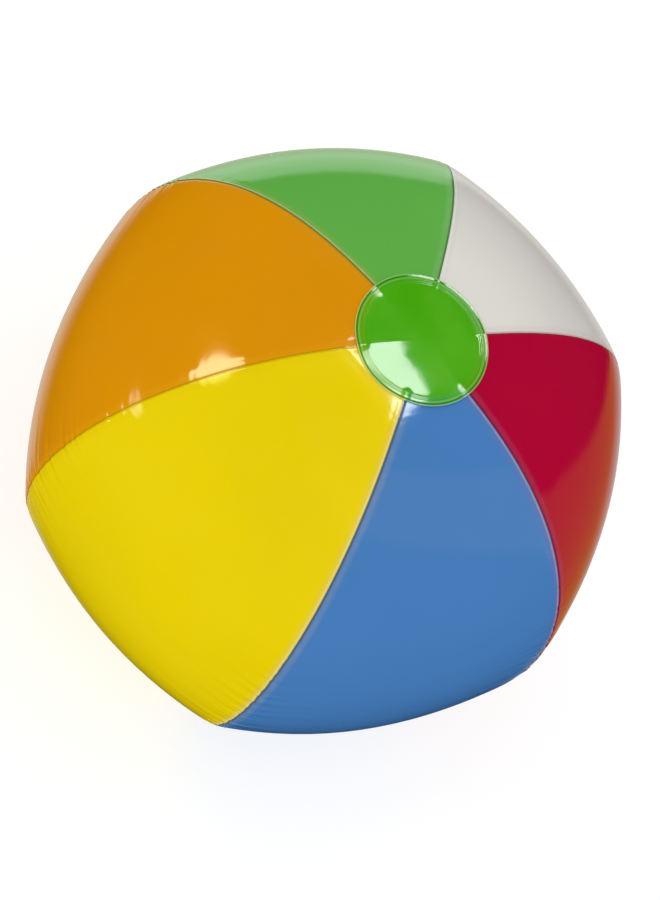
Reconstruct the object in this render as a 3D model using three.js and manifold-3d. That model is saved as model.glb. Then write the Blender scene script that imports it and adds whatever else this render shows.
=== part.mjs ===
// Inflatable beach ball: six welded film panels, two end discs and a push-in valve.
// Millimetres, +Z up along the line from pole to pole, +Y through the valve in the white panel.
// The ball stands on its lower end disc, and the origin is the middle of that flat spot.

import * as THREE from 'three';
import { mergeVertices } from 'three/addons/utils/BufferGeometryUtils.js';
import Module from 'manifold-3d';

const wasm = await Module();
wasm.setup();

// Film and its blown-up shape
const SEAM_RADIUS = 175; // axis to a seam at the equator
const POLE_HEIGHT = 148.4; // centre to either pole
const SHOULDER = 0.718; // under 1 squares the shoulder between equator and pole
const EQUATOR_FLATNESS = 0.405; // 0 is a round section between two seams, 1 a straight chord
const POLE_FLATNESS = 0.724; // added to it at the poles
const PANEL_RISE = 0.076; // how much further a panel's middle bulges towards the poles
const PANEL_COUNT = 6;
const PANEL_ANGLE = (2 * Math.PI) / PANEL_COUNT;
const FILM = 0.2; // thickness of the film
const GAP = 0.3; // clearance left between two welded layers
const LAYER = FILM + GAP; // step from one layer to the next

// Seam welds: the start of each panel runs under the end of the panel before it
const LAP = 4;
const JOGGLE_START = 0.3; // where the lap begins to climb to the outer level
const JOGGLE_END = 1.3; // where it has reached it
const PANEL_ROWS = 24;
const PANEL_COLUMNS = 8;

// End discs
const DISC_RADIUS = 38.6;
const DISC_WELD = 6; // width of the weld on the panel tips
const FOOT_RADIUS = 20; // the spot that the ball's weight presses flat
const DISC_RINGS = 3;
const DISC_SEGMENTS = 36;

// Valve, on the axis +Y; its heights count from the film's outer face
const FLANGE_RADIUS = 16;
const FLANGE_BORE = 10;
const FLANGE_THICKNESS = 0.8;
const FLANGE_SEGMENTS = 36;
const FILM_HOLE_RADIUS = 10.8;
const WEB_TOP = { radius: 9.4, y: 0.9 };
const WEB_FOOT = { radius: 6.9, y: -8.3 };
const WEB_THICKNESS = 0.5;
const STEM_BORE = 4;
const STEM_RADIUS = 5.5;
const STEM_LIP_RADIUS = 6;
const STEM_TOP = 0.6;
const STEM_LIP_DEPTH = 1;
const STEM_END = -14;
const SHOULDER_RADIUS = 6.3; // the ring on the stem that the web is moulded to
const SHOULDER_TOP = -7.6;
const SHOULDER_FOOT = -8.6;
const PLUG_HEAD_RADIUS = 5.3;
const PLUG_HEAD_THICKNESS = 1.2;
const PLUG_EDGE = 0.4; // rounding of the head
const PLUG_LENGTH = 8.4;
const PLUG_TAPER = 0.5; // how much the shank narrows to its end
const STRAP_THICKNESS = 0.7;
const STRAP_WIDTH = 3;
const STRAP_BEND = 0.9; // radius of its two bends, at mid thickness
const STRAP_REACH = 7.15; // how far from the stem's axis it stands
const STRAP_TOP = 1.5;
const STRAP_FOOT = -3.1;
const FLAP_RADIUS = 5;
const FLAP_THICKNESS = 0.6;
const FLAP_EAR_WIDTH = 4;
const FLAP_EAR_TOP = 5.6; // height of the ear over the stem's axis
const TURNED_SEGMENTS = 32;
const ARC_SEGMENTS = 6;

const COLOURS = {
  green: '#5eac47',
  white: '#eeebe6',
  red: '#ab0430',
  blue: '#4578b4',
  yellow: '#e9ce01',
  orange: '#da8e01',
  disc: '#44a809',
  valve: '#e6e6e1',
};

// Panels in order round the ball, counted from the seam on +X towards +Y.
const PANEL_ORDER = ['red', 'white', 'green', 'orange', 'yellow', 'blue'];

function softPvc(colour) {
  return new THREE.MeshStandardMaterial({ color: colour, roughness: 0.25, metalness: 0 });
}

function namedMesh(name, geometry, colour) {
  const mesh = new THREE.Mesh(geometry, softPvc(colour));
  mesh.name = name;
  return mesh;
}

// How flat the film is between two seams: the factor on the seam radius at this azimuth.
function flatnessFactor(polar, local) {
  const power = EQUATOR_FLATNESS + POLE_FLATNESS * Math.cos(polar) ** 4;
  return (Math.cos(PANEL_ANGLE / 2) / Math.cos(local)) ** power;
}

// The azimuth counted from the middle of the panel it falls in.
function localAzimuth(azimuth) {
  return azimuth - PANEL_ANGLE * (Math.floor(azimuth / PANEL_ANGLE) + 0.5);
}

// A point of the film, from the ball's centre. The profile is z = POLE_HEIGHT cos(polar) and
// r = SEAM_RADIUS sin(polar)^SHOULDER. Level is the distance out from the film's outer face.
function filmPoint(polar, azimuth, level) {
  const sine = Math.max(Math.sin(polar), 0);
  const cosine = Math.cos(polar);
  const local = localAzimuth(azimuth);
  const across = local / (PANEL_ANGLE / 2);
  const radius = SEAM_RADIUS * sine ** SHOULDER * flatnessFactor(polar, local);
  const height = POLE_HEIGHT * cosine * (1 + PANEL_RISE * sine ** 2 * (1 - across ** 2));
  const outward = new THREE.Vector2(
    POLE_HEIGHT * sine ** (2 - SHOULDER),
    SEAM_RADIUS * SHOULDER * cosine,
  ).normalize();
  const reach = radius + level * outward.x;
  return new THREE.Vector3(
    reach * Math.cos(azimuth),
    reach * Math.sin(azimuth),
    height + level * outward.y,
  );
}

// The polar angle near the upper pole at which the film is this far from the axis.
function polarAtRadius(radius, azimuth) {
  let polar = 0;
  for (let pass = 0; pass < 6; pass += 1) {
    const factor = flatnessFactor(polar, localAzimuth(azimuth));
    polar = Math.asin((radius / (SEAM_RADIUS * factor)) ** (1 / SHOULDER));
  }
  return polar;
}

// The height of the ball's centre over the flat spot that it stands on.
const footPolar = Math.PI - polarAtRadius(FOOT_RADIUS, PANEL_ANGLE / 2);
const CENTRE_HEIGHT = -filmPoint(footPolar, PANEL_ANGLE / 2, LAYER).z;

// A closed thin sheet over a grid. place(row, column, outer) gives a point of its outer or inner
// face; a wrapped sheet closes on itself. Faces that shrink to a line, at a pole, are left out.
function sheet(rows, columns, place, wrapped = false) {
  const positions = [];
  const indices = [];
  const known = new Map();

  function vertex(row, column, outer) {
    const point = place(row, wrapped ? column % columns : column, outer);
    const key = point.toArray().map((value) => value.toFixed(5)).join();
    if (!known.has(key)) {
      known.set(key, positions.length / 3);
      positions.push(...point);
    }
    return known.get(key);
  }

  function triangle(a, b, c) {
    if (a !== b && b !== c && c !== a) {
      indices.push(a, b, c);
    }
  }

  function quad(a, b, c, d) {
    triangle(a, b, c);
    triangle(a, c, d);
  }

  for (let row = 0; row < rows; row += 1) {
    for (let column = 0; column < columns; column += 1) {
      const corners = [[row, column], [row + 1, column], [row + 1, column + 1], [row, column + 1]];
      quad(...corners.map((corner) => vertex(...corner, true)));
      quad(...corners.reverse().map((corner) => vertex(...corner, false)));
    }
  }
  for (let column = 0; column < columns; column += 1) {
    quad(vertex(0, column, false), vertex(0, column, true),
      vertex(0, column + 1, true), vertex(0, column + 1, false));
    quad(vertex(rows, column, true), vertex(rows, column, false),
      vertex(rows, column + 1, false), vertex(rows, column + 1, true));
  }
  for (let row = 0; row < rows && !wrapped; row += 1) {
    quad(vertex(row, 0, true), vertex(row, 0, false),
      vertex(row + 1, 0, false), vertex(row + 1, 0, true));
    quad(vertex(row, columns, false), vertex(row, columns, true),
      vertex(row + 1, columns, true), vertex(row + 1, columns, false));
  }

  const geometry = new THREE.BufferGeometry();
  geometry.setAttribute('position', new THREE.Float32BufferAttribute(positions, 3));
  geometry.setIndex(indices);
  return geometry;
}

// One gore, from under the upper end disc to under the lower one. Its first columns are the lap
// that runs one layer down under the panel before it; the last column is its seam edge.
function panelGeometry(index) {
  const start = index * PANEL_ANGLE;
  const lap = [
    { offset: -LAP, level: -LAYER },
    { offset: JOGGLE_START, level: -LAYER },
    { offset: JOGGLE_END, level: 0 },
  ];

  function place(row, column, outer) {
    const stretch = Math.max(column - (lap.length - 1), 0) / PANEL_COLUMNS;
    const edge = lap[Math.min(column, lap.length - 1)];
    const middle = start + stretch * PANEL_ANGLE;
    const end = polarAtRadius(DISC_RADIUS - DISC_WELD, middle);
    const polar = THREE.MathUtils.lerp(end, Math.PI - end, row / PANEL_ROWS);
    const shift = edge.offset / (SEAM_RADIUS * Math.sin(polar) ** SHOULDER);
    const azimuth = middle + shift * (1 - stretch);
    return filmPoint(polar, azimuth, outer ? edge.level : edge.level - FILM);
  }

  return sheet(PANEL_ROWS, PANEL_COLUMNS + lap.length - 1, place);
}

// The end disc over one pole; the lower one has the flat spot that the ball stands on.
function discGeometry(side) {
  const rings = DISC_RINGS + 1;

  function place(row, column, outer) {
    const turn = (side * column) / DISC_SEGMENTS;
    const azimuth = 2 * Math.PI * turn;
    const beyond = (row - 1) / DISC_RINGS;
    const radius = row === 0 ? 0 : THREE.MathUtils.lerp(FOOT_RADIUS, DISC_RADIUS, beyond);
    const upper = polarAtRadius(radius, azimuth);
    const polar = side > 0 ? upper : Math.PI - upper;
    const point = filmPoint(polar, azimuth, outer ? LAYER : GAP);
    if (row === 0) {
      point.setX(0).setY(0);
    }
    return point.setZ(Math.max(point.z, -CENTRE_HEIGHT + (outer ? 0 : FILM)));
  }

  return sheet(rings, DISC_SEGMENTS, place, true);
}

function toSolid(geometry) {
  const bare = geometry.clone();
  bare.deleteAttribute('normal');
  bare.deleteAttribute('uv');
  const merged = mergeVertices(bare, 1e-4);
  return new wasm.Manifold(new wasm.Mesh({
    numProp: 3,
    vertProperties: new Float32Array(merged.attributes.position.array),
    triVerts: new Uint32Array(merged.index.array),
  }));
}

function toGeometry(solid) {
  const mesh = solid.getMesh();
  const geometry = new THREE.BufferGeometry();
  geometry.setAttribute('position', new THREE.Float32BufferAttribute(mesh.vertProperties, 3));
  geometry.setIndex(Array.from(mesh.triVerts));
  return geometry;
}

// The film's distance from the axis in the middle of a panel, where the valve is.
const VALVE_REACH = filmPoint(Math.PI / 2, PANEL_ANGLE * 1.5, 0).y;

// The white panel has the round hole that the valve goes through.
function valvePanelGeometry(index) {
  const drill = new THREE.CylinderGeometry(
    FILM_HOLE_RADIUS, FILM_HOLE_RADIUS, 20, TURNED_SEGMENTS,
  );
  drill.translate(0, VALVE_REACH, 0);
  return toGeometry(toSolid(panelGeometry(index)).subtract(toSolid(drill)));
}

// A soft ring that lies on the film round the hole and follows its curve.
function flangeGeometry() {
  const polarScale = POLE_HEIGHT * (1 + PANEL_RISE);
  const rings = 3;

  function place(row, column, outer) {
    const radius = THREE.MathUtils.lerp(FLANGE_BORE, FLANGE_RADIUS, row / rings);
    const angle = (2 * Math.PI * column) / FLANGE_SEGMENTS;
    const azimuth = Math.PI / 2 - (radius * Math.sin(angle)) / VALVE_REACH;
    const polar = Math.PI / 2 - (radius * Math.cos(angle)) / polarScale;
    return filmPoint(polar, azimuth, GAP + (outer ? FLANGE_THICKNESS : 0));
  }

  const geometry = sheet(rings, FLANGE_SEGMENTS, place, true);
  geometry.translate(0, -VALVE_REACH, 0);
  return geometry;
}

function turned(profile) {
  const points = profile.map(([radius, y]) => new THREE.Vector2(radius, y));
  return new THREE.LatheGeometry(points, TURNED_SEGMENTS);
}

// The thin skirt between flange and stem, as it hangs with the stem pushed in.
function webGeometry() {
  const half = WEB_THICKNESS / 2;
  return turned([
    [WEB_FOOT.radius - half, WEB_FOOT.y],
    [WEB_FOOT.radius + half, WEB_FOOT.y],
    [WEB_TOP.radius + half, WEB_TOP.y],
    [WEB_TOP.radius - half, WEB_TOP.y],
    [WEB_FOOT.radius - half, WEB_FOOT.y],
  ]);
}

// The tube that is blown into, with a lip at its mouth and the ring that carries the web.
function stemGeometry() {
  return turned([
    [STEM_BORE, STEM_END],
    [STEM_RADIUS, STEM_END],
    [STEM_RADIUS, SHOULDER_FOOT],
    [SHOULDER_RADIUS, SHOULDER_FOOT],
    [SHOULDER_RADIUS, SHOULDER_TOP],
    [STEM_RADIUS, SHOULDER_TOP],
    [STEM_RADIUS, STEM_TOP - STEM_LIP_DEPTH],
    [STEM_LIP_RADIUS, STEM_TOP - STEM_LIP_DEPTH],
    [STEM_LIP_RADIUS, STEM_TOP],
    [STEM_BORE, STEM_TOP],
    [STEM_BORE, STEM_END],
  ]);
}

function plugGeometry() {
  const underside = STEM_TOP + GAP;
  const top = underside + PLUG_HEAD_THICKNESS;
  const shank = STEM_BORE - GAP;
  return turned([
    [0, underside - PLUG_LENGTH],
    [shank - PLUG_TAPER, underside - PLUG_LENGTH],
    [shank, underside - PLUG_LENGTH / 2],
    [shank, underside],
    [PLUG_HEAD_RADIUS, underside],
    [PLUG_HEAD_RADIUS, top - PLUG_EDGE],
    [PLUG_HEAD_RADIUS - PLUG_EDGE, top],
    [0, top],
  ]);
}

// The strap from the plug's head, over the lip and down to the stem's wall.
function tetherGeometry() {
  const half = STRAP_THICKNESS / 2;
  const bendX = STRAP_REACH - STRAP_BEND;
  const upperY = STRAP_TOP - STRAP_BEND;
  const lowerY = STRAP_FOOT + STRAP_BEND;
  const quarter = Math.PI / 2;
  const outline = new THREE.Shape();
  outline.moveTo(PLUG_HEAD_RADIUS + GAP, STRAP_TOP + half);
  outline.absarc(bendX, upperY, STRAP_BEND + half, quarter, 0, true);
  outline.absarc(bendX, lowerY, STRAP_BEND + half, 0, -quarter, true);
  outline.lineTo(STEM_RADIUS + GAP, STRAP_FOOT - half);
  outline.lineTo(STEM_RADIUS + GAP, STRAP_FOOT + half);
  outline.absarc(bendX, lowerY, STRAP_BEND - half, -quarter, 0, false);
  outline.absarc(bendX, upperY, STRAP_BEND - half, 0, quarter, false);
  outline.lineTo(PLUG_HEAD_RADIUS + GAP, STRAP_TOP - half);
  const geometry = new THREE.ExtrudeGeometry(outline, {
    depth: STRAP_WIDTH,
    bevelEnabled: false,
    curveSegments: ARC_SEGMENTS,
  });
  geometry.translate(0, 0, -STRAP_WIDTH / 2);
  return geometry;
}

// The round tongue that closes the stem's inner end, with the ear that it hinges on at the top.
function flapGeometry() {
  const earHalf = FLAP_EAR_WIDTH / 2;
  const earAngle = Math.acos(earHalf / FLAP_RADIUS);
  const outline = new THREE.Shape();
  outline.moveTo(earHalf, FLAP_EAR_TOP);
  outline.lineTo(-earHalf, FLAP_EAR_TOP);
  outline.absarc(0, 0, FLAP_RADIUS, Math.PI - earAngle, 2 * Math.PI + earAngle, false);
  const geometry = new THREE.ExtrudeGeometry(outline, {
    depth: FLAP_THICKNESS,
    bevelEnabled: false,
    curveSegments: TURNED_SEGMENTS,
  });
  geometry.rotateX(Math.PI / 2);
  geometry.translate(0, STEM_END - GAP, 0);
  return geometry;
}

function buildValve() {
  const valve = new THREE.Group();
  valve.add(
    namedMesh('valve_flange', flangeGeometry(), COLOURS.valve),
    namedMesh('valve_web', webGeometry(), COLOURS.valve),
    namedMesh('valve_stem', stemGeometry(), COLOURS.valve),
    namedMesh('valve_plug', plugGeometry(), COLOURS.valve),
    namedMesh('plug_tether', tetherGeometry(), COLOURS.valve),
    namedMesh('check_flap', flapGeometry(), COLOURS.valve),
  );
  valve.position.y = VALVE_REACH;
  return valve;
}

const ball = new THREE.Group();
PANEL_ORDER.forEach((colour, index) => {
  const geometry = colour === 'white' ? valvePanelGeometry(index) : panelGeometry(index);
  ball.add(namedMesh(`panel_${colour}`, geometry, COLOURS[colour]));
});
ball.add(namedMesh('end_disc_top', discGeometry(1), COLOURS.disc));
ball.add(namedMesh('end_disc_bottom', discGeometry(-1), COLOURS.disc));
ball.add(buildValve());
ball.position.z = CENTRE_HEIGHT;

export default ball;
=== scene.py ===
"""An inflatable beach ball in a plain studio: six welded film panels, two end discs and a push-in valve.

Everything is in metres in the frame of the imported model: +Z runs from pole to pole, +Y through the valve
in the white panel, and the ball stands on its lower end disc, with the origin under the middle of it.
Each panel is a closed thin shell, worked out as one analytic surface with the welds, the rounded crests
over the seams and the small gathers across them added as relief.
"""
import logging
import math
from dataclasses import dataclass, field
from enum import Enum

import bpy
import numpy as np
from mathutils import Matrix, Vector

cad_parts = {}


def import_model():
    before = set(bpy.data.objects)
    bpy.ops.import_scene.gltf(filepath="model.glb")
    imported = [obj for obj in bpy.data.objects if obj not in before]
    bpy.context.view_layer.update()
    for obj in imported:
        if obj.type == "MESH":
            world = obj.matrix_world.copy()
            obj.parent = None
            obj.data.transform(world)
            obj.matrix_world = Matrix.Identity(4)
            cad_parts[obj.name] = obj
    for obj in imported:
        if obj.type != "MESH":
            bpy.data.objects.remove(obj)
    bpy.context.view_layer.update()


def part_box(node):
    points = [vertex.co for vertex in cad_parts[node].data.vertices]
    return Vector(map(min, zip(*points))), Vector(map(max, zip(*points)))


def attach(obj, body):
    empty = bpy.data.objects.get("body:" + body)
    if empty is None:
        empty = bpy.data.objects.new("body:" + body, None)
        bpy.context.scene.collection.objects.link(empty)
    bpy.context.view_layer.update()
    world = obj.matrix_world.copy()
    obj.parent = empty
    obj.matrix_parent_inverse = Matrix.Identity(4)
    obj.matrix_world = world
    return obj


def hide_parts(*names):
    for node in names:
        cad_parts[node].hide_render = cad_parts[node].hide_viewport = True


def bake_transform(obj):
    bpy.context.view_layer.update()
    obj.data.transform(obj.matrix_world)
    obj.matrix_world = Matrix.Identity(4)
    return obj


LOG = logging.getLogger("beach_ball")

MM = 0.001
PANEL_COUNT = 6
PANEL_ANGLE = 2 * math.pi / PANEL_COUNT
HALF_PANEL = PANEL_ANGLE / 2
SAG_SCALE = 27 / 4  # makes the largest value of u (1 - u)^2 equal to 1
FAR = 1.0  # metres: further than any distance on the ball, for a strip with no end on that side
STRESSED_FILM = (0.9, 0.9, 0.86)

Colour = tuple[float, float, float]
Socket = bpy.types.NodeSocket


def linear(code: str) -> Colour:
    """Turns a colour code of six hexadecimal digits into linear red, green and blue.

    Args:
        code: The display colour, such as "#45a2ff".

    Returns:
        The linear values that a shader's colour socket takes.
    """
    shown = [int(code[at : at + 2], 16) / 255 for at in (1, 3, 5)]
    return tuple(v / 12.92 if v <= 0.04045 else ((v + 0.055) / 1.055) ** 2.4 for v in shown)


def scaled(colour: Colour, factor: float) -> Colour:
    """A colour made darker or lighter by one factor, kept below full white."""
    return tuple(min(value * factor, 1.0) for value in colour)


def scaled_light(colour: Colour, factor: float) -> Colour:
    """A light's colour times its strength, which may be over 1."""
    return tuple(value * factor for value in colour)


def blended(first: Colour, second: Colour, share: float) -> Colour:
    """A colour that holds the given share of the second and the rest of the first."""
    return tuple(a + (b - a) * share for a, b in zip(first, second))


def smoothstep(low: float, high: float, value: np.ndarray) -> np.ndarray:
    """0 below low and 1 above high, and between them t^2 (3 - 2t) for the fraction t of the way."""
    part = np.clip((value - low) / (high - low), 0.0, 1.0)
    return part * part * (3 - 2 * part)


def bump(centre: float, width: float, value: np.ndarray) -> np.ndarray:
    """A smooth bump that is 1 at the centre: exp(-((value - centre) / width)^2)."""
    return np.exp(-(((value - centre) / width) ** 2))


def placed(name: str, data: bpy.types.ID) -> bpy.types.Object:
    """A new object at the origin, linked to the scene.

    Args:
        name: The object's name.
        data: Its mesh or camera.

    Returns:
        The new object.
    """
    piece = bpy.data.objects.new(name, data)
    bpy.context.scene.collection.objects.link(piece)
    return piece


class PanelColour(Enum):
    """The colours of the panels, in order round the ball from the seam on +X towards +Y."""

    RED = "#ab0430"
    WHITE = "#cfccc6"
    GREEN = "#5eac47"
    ORANGE = "#da8e01"
    YELLOW = "#e9ce01"
    BLUE = "#457bb9"

    @property
    def place(self) -> int:
        """The panel's number round the ball, from 0."""
        return list(PanelColour).index(self)

    @property
    def title(self) -> str:
        """The colour's name as the names of nodes and slots have it."""
        return self.name.lower()

    @property
    def under(self) -> "PanelColour":
        """The next panel, whose lap lies under this panel's last edge."""
        return list(PanelColour)[(self.place + 1) % PANEL_COUNT]

    @property
    def over(self) -> "PanelColour":
        """The panel before it, whose last edge covers this panel's lap."""
        return list(PanelColour)[self.place - 1]


# --------------------------------------------------------------------------- surfaces


@dataclass(frozen=True)
class FilmShape:
    """The outline of the blown-up ball: the film's outer face as a function of two angles.

    The profile from pole to pole is z = H cos p, r = R sin(p)^k for the polar angle p. Between two seams
    r is multiplied by (cos 30 deg / cos a)^f, with a the azimuth from the panel's middle, which flattens
    the panel and leaves a crest over each seam. Round the end discs each panel also sags a little past
    its first seam, by s 27/4 u (1 - u)^2 with u the fraction of the way to its last seam and s a length of
    its own, as no two panels are pulled quite alike.
    """

    centre: float
    seam_radius: float = 175 * MM
    pole_height: float = 148.4 * MM
    shoulder: float = 0.718
    equator_flatness: float = 0.405
    pole_flatness: float = 0.724
    panel_rise: float = 0.076
    crest_width: float = 5.0 * MM
    polar_crest: float = 1.0 * MM
    crest_rings: tuple[float, float] = (45 * MM, 140 * MM)
    facet_sags: tuple[float, ...] = (0.25 * MM, 0.2 * MM, 0.25 * MM, 0.0, 0.85 * MM, -0.45 * MM)
    facet_rise: tuple[float, float] = (4 * MM, 62 * MM)
    facet_fall: tuple[float, float] = (62 * MM, 115 * MM)
    film: float = 0.2 * MM

    def ring_radius(self, polar: np.ndarray) -> np.ndarray:
        """The distance of a seam from the axis: R sin(p)^k."""
        return self.seam_radius * np.maximum(np.sin(polar), 0.0) ** self.shoulder

    def from_seam(self, polar: np.ndarray, azimuth: np.ndarray) -> np.ndarray:
        """The angle to the nearest seam, rounded off so that the crest over the seam is smooth.

        It is sqrt(d^2 + w^2), where d is the plain angle and w the crest's width over the ring's radius.
        The crest is narrow round the end discs and widens towards the equator.

        Args:
            polar: Angle from the upper pole.
            azimuth: Angle from +X towards +Y.

        Returns:
            The angle to the nearest seam.
        """
        local = azimuth - PANEL_ANGLE * (np.floor(azimuth / PANEL_ANGLE) + 0.5)
        plain = HALF_PANEL - np.abs(local)
        ring = self.ring_radius(polar)
        widening = smoothstep(*self.crest_rings, ring)
        crest = self.polar_crest + (self.crest_width - self.polar_crest) * widening
        width = np.minimum(crest / np.maximum(ring, 1e-4), 0.3)
        return np.minimum(np.sqrt(plain**2 + width**2), HALF_PANEL)

    def flatness(self, polar: np.ndarray, azimuth: np.ndarray) -> np.ndarray:
        """The factor on the seam's radius: (cos 30 deg / cos a)^f, with f larger at the poles.

        Args:
            polar: Angle from the upper pole.
            azimuth: Angle from +X towards +Y.

        Returns:
            The factor at each point.
        """
        local = HALF_PANEL - self.from_seam(polar, azimuth)
        power = self.equator_flatness + self.pole_flatness * np.cos(polar) ** 4
        return (math.cos(HALF_PANEL) / np.cos(local)) ** power

    def outward(self, polar: np.ndarray) -> tuple[np.ndarray, np.ndarray]:
        """The unit normal of the profile, as its parts away from the axis and upwards.

        Args:
            polar: Angle from the upper pole.

        Returns:
            The part away from the axis and the part upwards.
        """
        away = self.pole_height * np.maximum(np.sin(polar), 1e-9) ** (2 - self.shoulder)
        upwards = self.seam_radius * self.shoulder * np.cos(polar)
        length = np.hypot(away, upwards)
        return away / length, upwards / length

    def point(self, polar: np.ndarray, azimuth: np.ndarray, level: np.ndarray) -> np.ndarray:
        """Points of the film, from the origin of the model.

        Args:
            polar: Angle from the upper pole.
            azimuth: Angle from +X towards +Y.
            level: Distance out from the film's outer face.

        Returns:
            An array with a last axis of x, y and z.
        """
        polar, azimuth, level = np.broadcast_arrays(polar, azimuth, level)
        across = 1 - self.from_seam(polar, azimuth) / HALF_PANEL
        rise = 1 + self.panel_rise * np.sin(polar) ** 2 * (1 - across**2)
        away, upwards = self.outward(polar)
        ring = self.ring_radius(polar)
        facet = smoothstep(*self.facet_rise, ring) * (1 - smoothstep(*self.facet_fall, ring))
        turns = azimuth / PANEL_ANGLE
        panel = np.floor(turns).astype(int) % PANEL_COUNT
        part = turns - np.floor(turns)
        level = level - np.array(self.facet_sags)[panel] * facet * SAG_SCALE * part * (1 - part) ** 2
        radius = ring * self.flatness(polar, azimuth) + level * away
        height = self.pole_height * np.cos(polar) * rise + level * upwards
        place = (radius * np.cos(azimuth), radius * np.sin(azimuth), height + self.centre)
        return np.stack(place, axis=-1)

    def polar_at(self, radius: np.ndarray, azimuth: np.ndarray) -> np.ndarray:
        """The polar angle near the upper pole at which the film is this far from the axis.

        It repeats p = asin((r / (R f(p)))^(1 / k)) until it settles.

        Args:
            radius: Distance from the axis.
            azimuth: Angle from +X towards +Y.

        Returns:
            The polar angle, which is at most a right angle.
        """
        radius, azimuth = np.broadcast_arrays(radius, azimuth)
        polar = np.zeros(radius.shape)
        for _ in range(8):
            factor = self.flatness(np.maximum(polar, 1e-3), azimuth)
            polar = np.arcsin((radius / (self.seam_radius * factor)) ** (1 / self.shoulder))
        return polar


@dataclass(frozen=True)
class Gathers:
    """The small folds that lie across each weld, where the flat-cut film turns over the equator.

    Each is a train of waves along the seam that dies away from it: a sum over four wavelengths of
    height * exp(-distance / reach) * sin(2 pi * along / wavelength + phase), under a slowly varying
    envelope, so that some stretches are gathered and some are smooth. Short waves die soonest.
    """

    wavelengths: tuple[float, ...] = (4.3 * MM, 6.1 * MM, 9.4 * MM, 16.0 * MM)
    reaches: tuple[float, ...] = (4.5 * MM, 7.5 * MM, 12.0 * MM, 18.0 * MM)
    heights: tuple[float, ...] = (0.16 * MM, 0.29 * MM, 0.31 * MM, 0.28 * MM)
    fan: float = 0.9
    band: float = 0.50
    seed: int = 11

    def slow_wave(self, draw: np.random.Generator, along: np.ndarray, length: float) -> np.ndarray:
        """A smooth random curve between about -1 and 1: three sines of uneven length and phase.

        Args:
            draw: The seam's own random numbers.
            along: Distance along the seam from the equator.
            length: The longest of the three wavelengths.

        Returns:
            The curve's value at each point.
        """
        total = np.zeros_like(along)
        for stretch in (1.0, 0.61, 0.37):
            total += np.sin(2 * math.pi * along / (length * stretch) + draw.uniform(0, 2 * math.pi))
        return total / 2.2

    def relief(self, seam: int, polar: np.ndarray, along: np.ndarray, aside: np.ndarray) -> np.ndarray:
        """The height of the folds over the smooth film.

        Args:
            seam: Which seam they cross; both its panels ask for the same folds.
            polar: Angle from the upper pole, which sets how deep they are.
            along: Distance along the seam from the equator.
            aside: Signed distance from the seam, positive towards the later panel.

        Returns:
            The displacement along the film's normal.
        """
        draw = np.random.default_rng(self.seed + seam)
        side = np.abs(aside)
        total = np.zeros_like(side)
        for length, reach, height in zip(self.wavelengths, self.reaches, self.heights):
            phase = draw.uniform(0, 2 * math.pi) + self.fan * self.slow_wave(draw, along, 21 * length)
            lean = draw.uniform(-0.5, 0.5) * aside / length
            wave = np.sin(2 * math.pi * along / length + phase + lean)
            strength = 0.62 + 0.5 * self.slow_wave(draw, along, 13 * length)
            total += height * np.exp(-side / reach) * np.maximum(strength, 0.08) * wave
        depth = 0.10 + 0.90 * np.exp(-(((polar - math.pi / 2) / self.band) ** 4))
        return total * depth


@dataclass
class Surface:
    """Vertices, faces and named values of one piece, before it becomes a mesh."""

    vertices: np.ndarray
    quads: np.ndarray
    triangles: np.ndarray = field(default_factory=lambda: np.zeros((0, 3), int))
    values: dict[str, np.ndarray] = field(default_factory=dict)

    def volume(self) -> float:
        """The signed volume inside: a sixth of the sum of a . (b x c) over all triangles.

        Returns:
            Cubic metres, below 0 if the faces point inwards.
        """
        parts = (self.quads[:, [0, 1, 2]], self.quads[:, [0, 2, 3]], self.triangles)
        corners = self.vertices[np.concatenate(parts)]
        first, second, third = corners[:, 0], corners[:, 1], corners[:, 2]
        return float(np.einsum("ij,ij->", first, np.cross(second, third))) / 6

    def build(self, name: str, material: bpy.types.Material, sharp: float = 50.0) -> bpy.types.Object:
        """Makes the object, with its faces pointing outwards and its edges sharp past an angle.

        Args:
            name: The object's name.
            material: Its only material.
            sharp: The angle in degrees past which an edge is shaded sharp.

        Returns:
            The new object, at the origin.
        """
        if self.volume() < 0:
            self.quads = self.quads[:, ::-1]
            self.triangles = self.triangles[:, ::-1]
        mesh = bpy.data.meshes.new(name)
        mesh.vertices.add(len(self.vertices))
        mesh.vertices.foreach_set("co", self.vertices.astype(np.float32).ravel())
        corners = np.concatenate((self.quads.ravel(), self.triangles.ravel())).astype(np.int32)
        sizes = np.concatenate((np.full(len(self.quads), 4), np.full(len(self.triangles), 3)))
        mesh.loops.add(len(corners))
        mesh.loops.foreach_set("vertex_index", corners)
        mesh.polygons.add(len(sizes))
        mesh.polygons.foreach_set("loop_start", (np.cumsum(sizes) - sizes).astype(np.int32))
        mesh.update(calc_edges=True)
        mesh.shade_smooth()
        mesh.set_sharp_from_angle(angle=math.radians(sharp))
        for title, value in self.values.items():
            self.add_value(mesh, title, value.astype(np.float32))
        mesh.materials.append(material)
        return placed(name, mesh)

    @staticmethod
    def add_value(mesh: bpy.types.Mesh, title: str, value: np.ndarray) -> None:
        """Stores one number, or one colour of three parts, for each vertex.

        Args:
            mesh: The mesh that gets it.
            title: Its name.
            value: One number or three for each vertex.
        """
        if value.ndim == 1:
            mesh.attributes.new(title, "FLOAT", "POINT").data.foreach_set("value", value)
            return
        opaque = np.concatenate((value, np.ones((len(value), 1), np.float32)), axis=1)
        mesh.attributes.new(title, "FLOAT_COLOR", "POINT").data.foreach_set("color", opaque.ravel())


def grid_quads(rows: int, columns: int) -> np.ndarray:
    """The quads of an open grid of rows by columns vertices, numbered row by row."""
    corner = (np.arange(rows - 1)[:, None] * columns + np.arange(columns - 1)).ravel()
    return np.stack((corner, corner + columns, corner + columns + 1, corner + 1), axis=1)


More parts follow.
